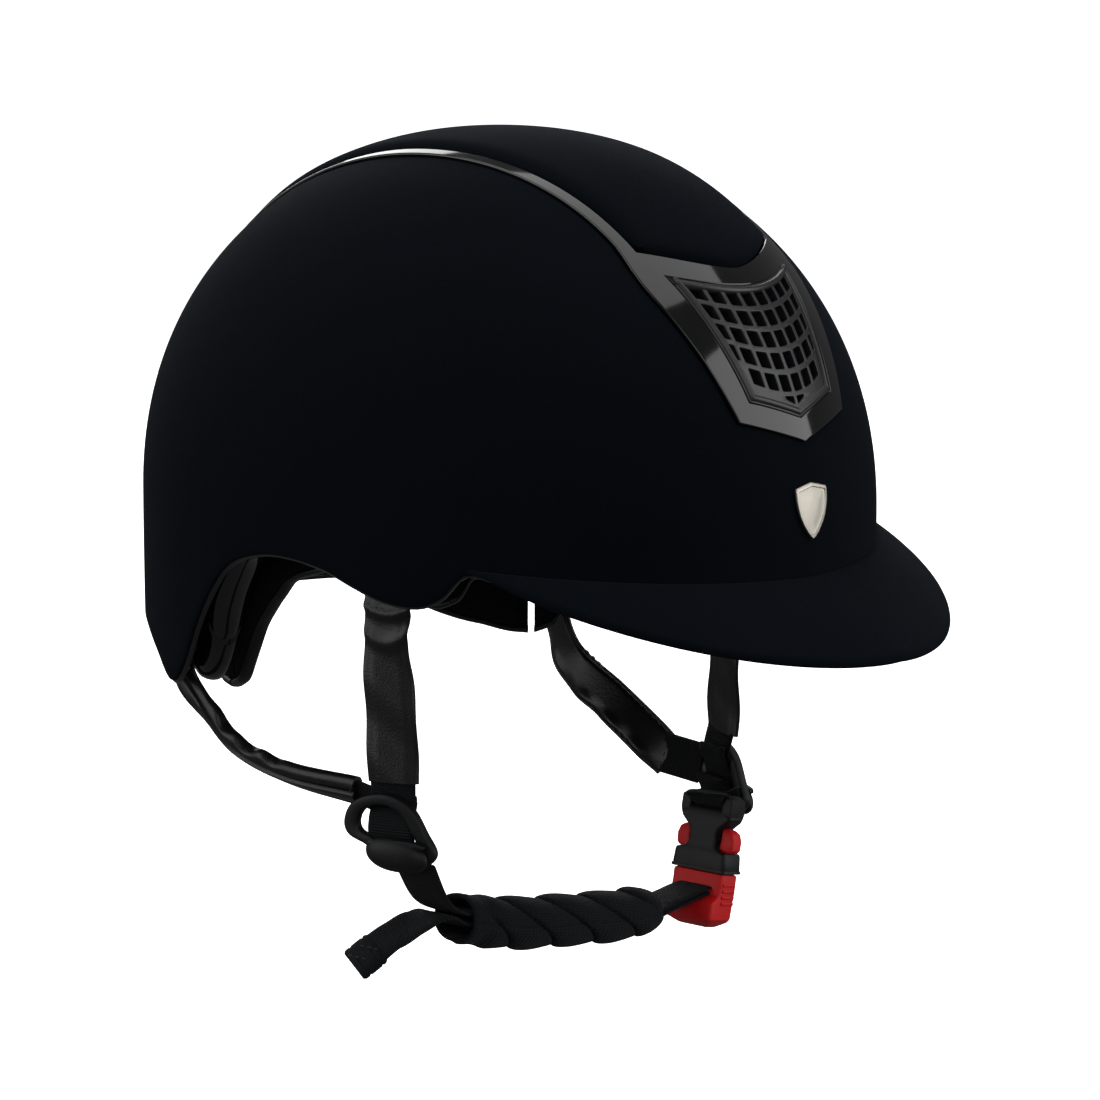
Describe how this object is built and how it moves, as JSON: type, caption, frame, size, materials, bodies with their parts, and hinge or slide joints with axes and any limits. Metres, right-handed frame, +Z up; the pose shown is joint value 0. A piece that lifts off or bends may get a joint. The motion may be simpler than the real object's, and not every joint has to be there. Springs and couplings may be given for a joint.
{
  "type": "equestrian riding helmet",
  "caption": "Riding helmet with a suede-look shell and peak, gloss vent frame with grilles, padded liner, and a Y-strap chin harness with a side-release buckle.",
  "frame": {"origin": "middle of the flat underside of the crown pad, where the wearer's head meets it", "axes": "front of the helmet (peak) faces -Y, the wearer's left is +X, +Z is up"},
  "size_m": [0.216, 0.3021, 0.2728],
  "materials": {
    "suede": "matte suede-look microfibre",
    "gloss_black": "high gloss",
    "grille_grey": "satin",
    "badge_metal": "polished",
    "liner_foam": "moulded bead foam",
    "lining": "knitted lining over soft foam",
    "leatherette": "smooth satin leatherette",
    "webbing": "ribbed woven webbing",
    "harness_plastic": "satin moulded",
    "red_plastic": "satin moulded",
    "steel": "brushed",
    "pad_mesh": "spacer mesh over soft foam"
  },
  "bodies": {
    "root": {"outer_shell": "suede", "crown_panel": "suede", "peak": "suede", "trim_frame": "gloss_black", "liner_edge_band": "gloss_black", "front_grille": "grille_grey", "rear_grille": "grille_grey", "badge": "badge_metal", "impact_liner": "liner_foam", "crown_pad": "lining", "brow_pad": "lining", "side_pad_left": "lining", "side_pad_right": "lining", "nape_pad": "lining", "front_strap_left": "leatherette", "front_strap_right": "leatherette", "rear_strap_left": "leatherette", "rear_strap_right": "leatherette", "front_webbing_left": "webbing", "front_webbing_right": "webbing", "rear_webbing_left": "webbing", "rear_webbing_right": "webbing", "divider_left": "harness_plastic", "divider_right": "harness_plastic", "cam_pin_left": "steel", "cam_pin_right": "steel", "strap_rivet_front_left": "steel", "strap_rivet_front_right": "steel", "strap_rivet_rear_left": "steel", "strap_rivet_rear_right": "steel", "buckle_webbing": "webbing", "buckle_female": "harness_plastic"},
    "chin_strap": {"chin_webbing_right": "webbing", "chin_pad": "pad_mesh", "webbing_tail": "webbing", "tail_fold": "webbing", "chin_webbing_left": "webbing", "buckle_male": "red_plastic"},
    "cam_left": {"divider_cam_left": "harness_plastic"},
    "cam_right": {"divider_cam_right": "harness_plastic"},
    "arm_front": {"release_arm_front": "red_plastic"},
    "arm_rear": {"release_arm_rear": "red_plastic"}
  },
  "joints": [
    {"name": "chin_strap_swing", "type": "hinge", "parent": "root", "child": "chin_strap", "pos_m": [-0.08076, -0.03133, -0.1968], "axis": [0, 1, 0], "range_deg": [0, 80], "deforming": ["release_arm_front", "release_arm_rear"]},
    {"name": "cam_flip_left", "type": "hinge", "parent": "root", "child": "cam_left", "pos_m": [0.088, -0.02536, -0.1955], "axis": [-0.2756, -0.9613, 0], "range_deg": [0, 60]},
    {"name": "cam_flip_right", "type": "hinge", "parent": "root", "child": "cam_right", "pos_m": [-0.0845, -0.03136, -0.1875], "axis": [-0.2756, 0.9613, 0], "range_deg": [0, 60]},
    {"name": "arm_flex_front", "type": "hinge", "parent": "chin_strap", "child": "arm_front", "pos_m": [0.0685, -0.0362, -0.2215], "axis": [-0.9842, 0, 0.1771], "range_deg": [0, 8], "stiffness_Nm_per_rad": 0.02},
    {"name": "arm_flex_rear", "type": "hinge", "parent": "chin_strap", "child": "arm_rear", "pos_m": [0.0685, -0.0218, -0.2215], "axis": [0.9842, 0, -0.1771], "range_deg": [0, 8]}
  ],
  "couplings": [
    {"joint": "arm_flex_rear", "follows": "arm_flex_front", "ratio": 1}
  ]
}
